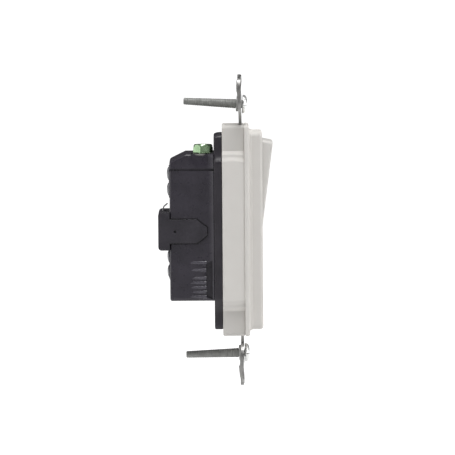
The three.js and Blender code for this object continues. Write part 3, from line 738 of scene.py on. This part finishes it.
def wire_ramp():
    """A shallow ramp under the ground screw, its back end slanting."""
    near, deep = -17.5, -15.7
    top = BODY_HIGH.z
    rings = []
    for x, low in ((-16.6, 23.9), (-14.4, 22.7), (-10.8, 22.7)):
        section = ((near, low), (-BODY_HALF, low), (deep, top), (deep, top + 1), (near, top + 1))
        rings.append([(x, y, z) for y, z in section])
    points, faces = loft(rings)
    faces += [tuple(range(5)), tuple(range(14, 9, -1))]
    return mesh_of("ramp", points, faces)


def clip_recess(outer):
    """A shallow bed for one arm of the clip, with its pointed end."""
    reach = 4.35
    shape = [(-26, -reach), (-14.5, -reach), (-10.9, -1.5), (-10.9, 1.5), (-14.5, reach), (-26, reach)]
    return flat_y(shape, *outer)


def slanted_pocket():
    """The dark pocket in front of the ribs, its ends slanting."""
    return flat_y([(-11.6, -22.2), (-9.5, -23.0), (-9.5, -9.8), (-11.6, -10.9)], -18.5, -15.4)


def fin(z, start, end):
    """A thin rounded rib on the near side that grows from nothing towards the pocket."""
    rings = []
    for step in range(9):
        along = step / 8
        height = 0.02 + 0.60 * along**1.2
        half = 0.26 + 0.42 * along
        x = start + (end - start) * along
        ring = []
        for i in range(9):
            angle = math.pi * i / 8
            ring.append((x, -BODY_HALF - height * math.sin(angle), z + half * math.cos(angle)))
        root = 0.3 - BODY_HALF
        ring += [(x, root, z - half * 0.8), (x, root, z + half * 0.8)]
        rings.append(ring)
    points, faces = loft(rings)
    count = len(rings[0])
    faces.append(tuple(range(count)))
    faces.append(tuple(range(len(points) - count, len(points))))
    return mesh_of("fin", points, faces)


# ---------------------------------------------------------------- the clip over the back
def make_clip():
    """The black clip round the back of the body, with a pointed arm on each side."""
    back = CLIP_LOW.x
    front = BODY_LOW.x - 0.02
    outer, inner, half, corner, wall = 17.2, 16.2, CLIP_HIGH.z, 1.1, 1.4
    shape = [(front, -half), (front, half)]
    shape += quarter(back + corner, half - corner, corner, 90)
    shape += quarter(back + corner, corner - half, corner, 180)
    clip = object_of("rear_clip_moulding", flat_y(shape, -outer, outer))
    hollow = block((back + wall, wall - outer, wall - half), (front + 1, outer - wall, half - wall))
    combine(clip, [hollow], "DIFFERENCE")
    # a web inside, and the two arms
    arms = [block((back + 1, -0.6, -half + 1), (front, 0.6, 3.2))]
    shape = [(front - 1, -4), (-14.7, -4), (-11.2, -1.3), (-11.2, 1.3), (-14.7, 4), (front - 1, 4)]
    arms += [flat_y(shape, *ends) for ends in ((-outer, -inner), (inner, outer))]
    combine(clip, arms, "UNION")
    # a pin hole through both arms, and the leaf's slot
    cuts = [rod("y", -outer - 1, outer + 1, 0.45, (-22, 0, 0))]
    cuts.append(block((-26.7, -2.4, 3.9), (-24.7, 2.4, half + 1)))
    combine(clip, cuts, "DIFFERENCE")
    soften(clip, 0.28, 3, 30)
    finish_piece(clip, CLIP_BLACK, "device", ["rear_clip"], 40)


def make_clip_leaf():
    """The small bright leaf spring that stands out of the clip's top."""
    middle = [(-26.1, 4.2), (-26.1, 6.2), (-26.08, 6.9), (-26.0, 7.4)]
    middle += [(-25.8, 7.8), (-25.3, 8.25), (-24.6, 8.8)]
    half_thick = 0.2
    sides = [[], []]
    for i, (x, z) in enumerate(middle):
        px, pz = middle[max(i - 1, 0)]
        nx, nz = middle[min(i + 1, len(middle) - 1)]
        length = math.hypot(nx - px, nz - pz)
        ax = -(nz - pz) / length * half_thick
        az = (nx - px) / length * half_thick
        sides[0].append((x + ax, z + az))
        sides[1].insert(0, (x - ax, z - az))
    leaf = object_of("clip_leaf", flat_y(sides[0] + sides[1], -1.9, 1.9))
    soften(leaf, 0.1, 2, 40)
    finish_piece(leaf, SPRING_STEEL, "device", ["clip_spring"], 40)


# ---------------------------------------------------------------- the strap
TOP_SHIFT = 0.35  # the strap's upper end and its screw stand this far back
STRAP_THICK = 1.0
EAR_HALF = 21.0
EAR_START = 38.2
SLOT_Z = 41.65
COVER_HOLE_Z = 48.4
NICK_Y = 10.4


def ear_mesh(side):
    """The flat ear at the top (side 1) or the bottom (side -1)."""
    corner = 4.0
    z0, z1 = sorted((side * STRAP_HIGH.z, side * EAR_START))
    rows = shares([z0 + corner + i for i in range(1, 6)], z0 + corner, z1 - corner)
    shape = outline(level(EAR_HALF), z0, z1, corner, rows, 8)
    return lofted("ear", [[(x, y, z) for y, z in shape] for x in (0.0, STRAP_THICK)])


def ear_shift(y, z):
    """How far the strap stands behind its flat place: its top leans back, its ears are dished and wavy."""
    lean = TOP_SHIFT * smooth_step((z - 26) / 12)
    wing = smooth_step((abs(y) - 9.2) / 2.0)
    dish = 0.42 * wing * smooth_step((abs(z) - 40.5) / 3.0) * smooth_step((52.5 - abs(z)) / 1.2)
    wave = 0.12 * math.sin((abs(z) - 38.5) * 0.9) * smooth_step((abs(z) - 38.5) / 2.0)
    return lean + dish + wave


def dish_ears(mesh):
    """Cuts the strap into strips and bends it by ear_shift."""
    work = bmesh.new()
    work.from_mesh(mesh)
    heights = (26, 30, 34, 38, *range(39, 52))
    cuts = [(Vector((0, side * y, 0)), Vector((0, 1, 0))) for y in (9.2, 10.2, 11.2) for side in (-1, 1)]
    cuts += [(Vector((0, 0, side * z)), Vector((0, 0, 1))) for z in heights for side in (-1, 1)]
    for point, normal in cuts:
        geometry = work.verts[:] + work.edges[:] + work.faces[:]
        bmesh.ops.bisect_plane(work, geom=geometry, plane_co=point * MM, plane_no=normal, dist=1e-7)
    for vertex in work.verts:
        _, y, z = vertex.co / MM
        vertex.co.x -= ear_shift(y, z) * MM
    work.to_mesh(mesh)
    work.free()


def strap_cuts():
    """The housing's opening, the ground screw's hole, and each ear's slot, cover-plate hole and nicks."""
    cuts = [block((-1, -12, -20.5), (2, 12, 20.5)), rod("z", 22, 26, 2.05, (GROUND.x, GROUND.y, 0))]
    lead_in = [(0.55, 0), (0.55, 1.45), (1.2, 2.1), (1.2, 0)]
    for side in (-1, 1):
        z0, z1 = side * SLOT_Z - 2.6, side * SLOT_Z + 2.6
        slot = [[(x, y, z) for y, z in outline(level(4.4), z0, z1, 2.5, [0.5], 8)] for x in (-1, 2)]
        cuts.append(lofted("slot", slot))
        hole = (0, 0, side * COVER_HOLE_Z)
        cuts.append(rod("x", -2, 2, 1.45, hole))
        cuts.append(turned("lead-in", lead_in, "x", hole, 40))
        for y in (-NICK_Y, NICK_Y):
            for z in (side * 41.6, side * COVER_HOLE_Z):
                cuts.append(block((-1, y - 0.5, z - 1.9), (2, y + 0.5, z + 1.9)))
    return cuts


def make_strap():
    """The steel strap with its two ears, collars round the cover-plate holes, and the ground tab."""
    front = STRAP_THICK
    strap = object_of("mounting_strap_blank", block((0, -14.5, -24.2), (front, 14.5, 24.2)))
    neck = block((0, -NECK_HALF, -39), (front, NECK_HALF, 39))
    tab = block((STRAP_LOW.x, -14.3, 24.1), (front, -6.7, 24.9))
    parts = [neck, ear_mesh(1), ear_mesh(-1), tab]
    collar = [(-0.65, 0), (-0.65, 1.9), (-0.1, 2.6), (front - 0.2, 2.6), (front - 0.2, 0)]
    parts += [turned("collar", collar, "x", (0, 0, side * COVER_HOLE_Z), 40) for side in (-1, 1)]
    for part in parts:
        combine(strap, [part], "UNION")
    combine(strap, strap_cuts(), "DIFFERENCE")
    soften(strap, 0.16, 3, 40)
    dish_ears(strap.data)
    finish_piece(strap, STRAP_STEEL, "device", ["mounting_strap"], 40)


# ---------------------------------------------------------------- fasteners
THREAD_PITCH = 0.794
THREAD_FADE = 0.8  # the thread's grooves run out over this length at each end
SCREW_SIDES = 40
SHANK_END = -18.5  # of the mounting screws
SHANK_RADIUS = 1.75  # of the ground and terminal screws


def ring_round(x, radius_at):
    """A ring at x, radius_at(share) being its radius at each share of a turn."""
    ring = []
    for i in range(SCREW_SIDES):
        radius = radius_at(i / SCREW_SIDES)
        angle = TAU * i / SCREW_SIDES
        ring.append((x, radius * math.cos(angle), radius * math.sin(angle)))
    return ring


def circle(x, radius):
    return ring_round(x, lambda share: radius)


def thread(start, end, radius_at, depth):
    """Rings along X whose radius rises and falls round a helix, from start to end."""
    rows = int(abs(end - start) / THREAD_PITCH * 10)
    rings = []
    for row in range(rows + 1):
        x = start + (end - start) * row / rows
        groove = depth * min(1, min(abs(x - start), abs(end - x)) / THREAD_FADE)

        def radius(share):
            phase = (x / THREAD_PITCH + share) % 1
            height = max(0, 1 - abs(phase - 0.5) * 2.6)
            return radius_at(x) - groove * (1 - height)

        rings.append(ring_round(x, radius))
    return rings


def fan_lofted(name, rings):
    """A closed solid through round rings, its ends closed by fans."""
    points, faces = loft(rings)
    count = len(rings[0])
    for first in (0, (len(rings) - 1) * count):
        centre = len(points)
        points.append(sum((Vector(points[first + i]) for i in range(count)), Vector()) / count)
        faces += [(first + i, first + (i + 1) % count, centre) for i in range(count)]
    return mesh_of(name, points, faces)


def screw_taper(x):
    """Shank radius from the head to the tip, with a blunt lead at the tip."""
    return 1.66 - 0.43 * min(max(-x / 18.0, 0), 1) - 0.1 * smooth_step((-17.6 - x) / 1.0)


def ending(ring, axis, place):
    """A copy of the ring with one coordinate (0 for X, 1 for Y, 2 for Z) set to the place given."""
    return [tuple(place if i == axis else value for i, value in enumerate(point)) for point in ring]


def make_mounting_screw(place, back, degrees):
    """A screw and its washer, standing back from their true place and leaning by the degrees given."""
    body = f"mounting_screw_{place}"
    height = JOINTS[f"{body}_turn"]["pos_m"][2]
    lean = Matrix.Translation((-back * MM, 0, height)) @ Matrix.Rotation(math.radians(degrees), 4, "Y")
    rings = [circle(SHANK_END - 0.15, 0.8), circle(SHANK_END - 0.1, 0.92)]
    rings += thread(SHANK_END, -0.9, screw_taper, 0.12)
    rings += [circle(-1.3, 1.38), circle(1.3, 1.38)]
    rim = ((1.3, 2.95), (1.36, 3.08), (1.5, 3.15), (1.8, 3.13))
    dome = ((2.15, 2.98), (2.45, 2.68), (2.68, 2.25), (2.82, 1.7), (2.89, 1.0), (2.9, 0.4))
    rings += [circle(x, radius) for x, radius in rim + dome]
    screw = object_of(f"captive_screw_{place}", fan_lofted("screw", rings))
    slot = block((1.75, -3.4, -0.42), (3.2, 3.4, 0.42))
    cross = block((1.75, -0.42, -2.0), (3.2, 0.42, 2.0))
    combine(screw, [slot, cross], "DIFFERENCE")
    screw.data.transform(lean)
    finish_piece(screw, SCREW_STEEL, body, [body], 34)
    screw.data.materials.append(THREAD_STEEL_PAINTED_SHADE)
    # the shank below the head takes the darker thread steel: painted shade
    for polygon in screw.data.polygons:
        if polygon.center.x < 0.8 * MM:
            polygon.material_index = 1

    edge = [(-0.75, 2.45), (-0.7, 2.56), (-0.6, 2.6), (-0.15, 2.6), (-0.07, 2.56), (-0.03, 2.4)]
    profile = [(-0.75, 0), *edge, (-0.03, 0)]
    washer = object_of(f"washer_{place}", turned("washer", profile, "x"))
    combine(washer, [rod("x", -2, 1, 1.8)], "DIFFERENCE")
    washer.data.transform(lean)
    finish_piece(washer, FIBRE, body, [f"captive_washer_{place}"], 34)


def hexagon(x, y, z, radius):
    """A ring of six points; the radius is that of its corners."""
    angles = [TAU * i / 6 for i in range(6)]
    return [(x + radius * math.cos(angle), y + radius * math.sin(angle), z) for angle in angles]


def make_ground_screw():
    """A slotted green hex screw, turned by 14 degrees as in the photo."""
    x, y, under = GROUND
    top = under + 2.9
    flat = 3.0  # from the axis to a flat
    corner = flat / math.cos(math.radians(30))
    levels = ((under, corner * 0.97), (under + 0.1, corner), (under + 2.1, corner), (top, corner))
    rings = [hexagon(x, y, z, radius) for z, radius in levels]
    head = object_of("hex", fan_lofted("hex", rings))
    chamfer = [(24, 0), (24, corner + 0.05), (under + 2.0, corner + 0.05), (top, corner * 0.82), (top, 0)]
    combine(head, [turned("trim", chamfer, "z", (x, y, 0), 64)], "INTERSECT")
    shank = []
    for ring in thread(19.3, under - 0.1, level(SHANK_RADIUS), 0.2):
        shank.append([(x + across, y + up, along) for along, across, up in ring])
    shank.append(ending(shank[-1], 2, under + 0.2))
    combine(head, [fan_lofted("shank", shank)], "UNION")
    combine(head, [block((x - 4, y - 0.5, under + 1.8), (x + 4, y + 0.5, under + 4))], "DIFFERENCE")
    soften(head, 0.1, 2, 30)
    axis = Matrix.Translation((x * MM, y * MM, 0))
    head.data.transform(axis @ Matrix.Rotation(math.radians(14), 4, "Z") @ axis.inverted())
    head.name = "green_hex_screw"
    finish_piece(head, GREEN, "ground_screw", ["ground_screw"], 30)


def make_terminal_screw(side, z):
    x = TERMINAL_X
    rim = [(15.2, 3.4), (15.3, 3.55), (15.45, 3.6), (16.5, 3.6), (16.8, 3.52), (17.05, 3.3), (17.2, 2.9)]
    profile = [(15.2, 0), *rim, (17.2, 0)]
    screw = object_of(f"{side}_binding_screw", turned("screw", profile, "y", (x, 0, z)))
    shank = []
    for ring in thread(9.6, 15.1, level(SHANK_RADIUS), 0.2):
        shank.append([(x + up, along, z + across) for along, across, up in ring])
    shank.append(ending(shank[-1], 1, 15.5))
    combine(screw, [fan_lofted("shank", shank)], "UNION")
    combine(screw, [block((x - 4, 16.2, z - 0.5), (x + 4, 18, z + 0.5))], "DIFFERENCE")
    finish_piece(screw, BRASS, f"{side}_screw", [f"{side}_terminal_screw"], 30)


def make_rivet(index, z):
    dome = [(-24.7, 0), (-24.69, 0.5), (-24.62, 1.1), (-24.48, 1.6), (-24.3, 2.0), (-24.15, 2.2)]
    profile = dome + [(-23.9, 2.2), (-23.9, 0.9), (-22.4, 0.9), (-22.4, 0)]
    rivet = object_of(f"rivet_head_{index}", turned("rivet", profile, "x", (0, RIVET_Y, z)))
    finish_piece(rivet, GREY, "device", [f"terminal_rivet_{index}"], 50)


def make_assembly_screw(index, y, z):
    back = -8.75
    head = [(back, 1.9), (back + 0.12, 2.1), (back + 0.35, 2.2), (back + 1.1, 2.2)]
    profile = [(back, 0), *head, (back + 1.1, 1.2), (0, 1.2), (0, 0)]
    screw = object_of(f"housing_screw_{index}", turned("screw", profile, "x", (0, y, z), 40))
    cross = []
    for half_y, half_z in ((1.3, 0.28), (0.28, 1.3)):
        cross.append(block((back - 1, y - half_y, z - half_z), (back + 0.8, y + half_y, z + half_z)))
    combine(screw, cross, "DIFFERENCE")
    finish_piece(screw, SCREW_STEEL, "device", [f"assembly_screw_{index}"], 34)


make_middle_housing()
make_front_housing()
make_paddle()
make_separator()
make_body()
make_clip()
make_clip_leaf()
make_strap()
make_mounting_screw("top", TOP_SHIFT, 3.3)
make_mounting_screw("bottom", 0, -1.7)
make_ground_screw()
for side, height in TERMINAL_HEIGHTS.items():
    make_terminal_screw(side, height)
for number, height in enumerate(RIVET_HEIGHTS, 1):
    make_rivet(number, height)
for number, (y, z) in enumerate(BOSS_PLACES, 1):
    make_assembly_screw(number, y, z)

INNER_LOOKS = {
    "actuator_spring": SPRING_STEEL,
    "actuator_plunger": WHITE,
    "contact_bridge": BRASS,
    "moving_contact": SILVER,
    "line_terminal": BRASS,
    "load_terminal": BRASS,
    "fixed_contact": SILVER,
    "line_wire_spring": SPRING_STEEL,
    "load_wire_spring": SPRING_STEEL,
    "line_clamp_plate": CLAMP_STEEL,
    "load_clamp_plate": CLAMP_STEEL,
    "ground_clamp": CLAMP_STEEL,
}
for node, look in INNER_LOOKS.items():
    NODES[node].data.materials.clear()
    NODES[node].data.materials.append(look)

# ---------------------------------------------------------------- camera
TARGET = Vector((-4.34, 0, 0.45)) * MM
DISTANCE = 2.57
ELEVATION = math.radians(2.7)
ROLL = math.radians(-0.43)
lens = bpy.data.cameras.new("camera")
lens.lens = 600
lens.sensor_width = 36
lens.clip_start = 0.1
lens.clip_end = 50
camera = bpy.data.objects.new("camera", lens)
camera.location = TARGET + DISTANCE * Vector((0, -math.cos(ELEVATION), math.sin(ELEVATION)))
tip = Matrix.Rotation(math.pi / 2 - ELEVATION, 4, "X") @ Matrix.Rotation(ROLL, 4, "Z")
camera.rotation_euler = tip.to_euler()
bpy.context.scene.collection.objects.link(camera)
bpy.context.scene.camera = camera

# ---------------------------------------------------------------- light and surroundings
scene = bpy.context.scene
scene.view_settings.view_transform = "Standard"
world = bpy.data.worlds.new("studio")
world.use_nodes = True
scene.world = world


ROOM_STRENGTH = 0.57


def light_the_room(nodes, links):
    """A bright ceiling over dimmer walls: bright to the left and right, dark behind the object."""
    direction = nodes.new("ShaderNodeTexCoord")
    parts = nodes.new("ShaderNodeSeparateXYZ")
    links.new(direction.outputs["Generated"], parts.inputs[0])
    greys = ((0.0, 0.42), (0.12, 0.40), (0.42, 0.80), (1.0, 1.0))
    stops = [(place, (grey, grey, grey, 1)) for place, grey in greys]
    height = new_ramp(nodes, links, parts.outputs["Z"], stops)
    behind = new_range(nodes, links, parts.outputs["Y"], (0.1, 0.7), (1.0, 0.35), "SMOOTHSTEP")
    both = new_maths(nodes, links, "MULTIPLY", height, behind)
    across = new_maths(nodes, links, "ABSOLUTE", parts.outputs["X"])
    sides = new_range(nodes, links, across, (0.25, 0.85), (0.6, 1.9), "SMOOTHSTEP")
    walls = new_maths(nodes, links, "MULTIPLY", both, sides)
    strength = new_maths(nodes, links, "MULTIPLY", walls, ROOM_STRENGTH)
    # seen directly, the room is plain white
    ray = nodes.new("ShaderNodeLightPath")
    seen = new_maths(nodes, links, "MAXIMUM", strength, ray.outputs["Is Camera Ray"])
    nodes["Background"].inputs["Color"].default_value = (1, 1, 1, 1)
    links.new(seen, nodes["Background"].inputs["Strength"])


light_the_room(world.node_tree.nodes, world.node_tree.links)


def area_light(name, place, power, size):
    """A white disk light that faces the object; place and size are in metres."""
    light = bpy.data.lights.new(name, "AREA")
    light.energy = power
    light.shape = "DISK"
    light.size = size
    obj = bpy.data.objects.new(name, light)
    obj.location = place
    obj.rotation_euler = (-Vector(place)).to_track_quat("-Z", "Y").to_euler()
    scene.collection.objects.link(obj)


area_light("soft box", (0.05, -0.25, 1.0), 7.5, 0.5)
area_light("left panel", (-2.5, -0.3, 0.4), 17.0, 2.2)
area_light("right panel", (2.5, -0.3, 0.5), 15.0, 1.8)


def make_stage():
    """A pale floor that runs far past the object and glows more strongly behind it: painted light, not light
    from a lamp.
    """
    reach, floor_z = 14.0, -0.1  # in metres
    signs = ((-1, -1), (1, -1), (1, 1), (-1, 1))
    corners = [(reach * x, reach * y, floor_z) for x, y in signs]
    mesh = bpy.data.meshes.new("floor")
    mesh.from_pydata(corners, [], [(0, 1, 2, 3)])
    floor = object_of("floor", mesh)
    material = bpy.data.materials.new("pale floor")
    material.use_nodes = True
    nodes, links = material.node_tree.nodes, material.node_tree.links
    shader = nodes["Principled BSDF"]
    shader.inputs["Base Color"].default_value = (0.86, 0.86, 0.86, 1)
    shader.inputs["Roughness"].default_value = 0.9
    shader.inputs["Emission Color"].default_value = (1, 1, 1, 1)
    place = nodes.new("ShaderNodeTexCoord")
    away = nodes.new("ShaderNodeSeparateXYZ")
    links.new(place.outputs["Object"], away.inputs[0])
    # painted light: the floor's glow rises from 0.10 to 0.75 between 0.06 m and 0.26 m behind the object
    glow = new_range(nodes, links, away.outputs["Y"], (0.06, 0.26), (0.10, 0.75))
    links.new(glow, shader.inputs["Emission Strength"])
    mesh.materials.append(material)


make_stage()
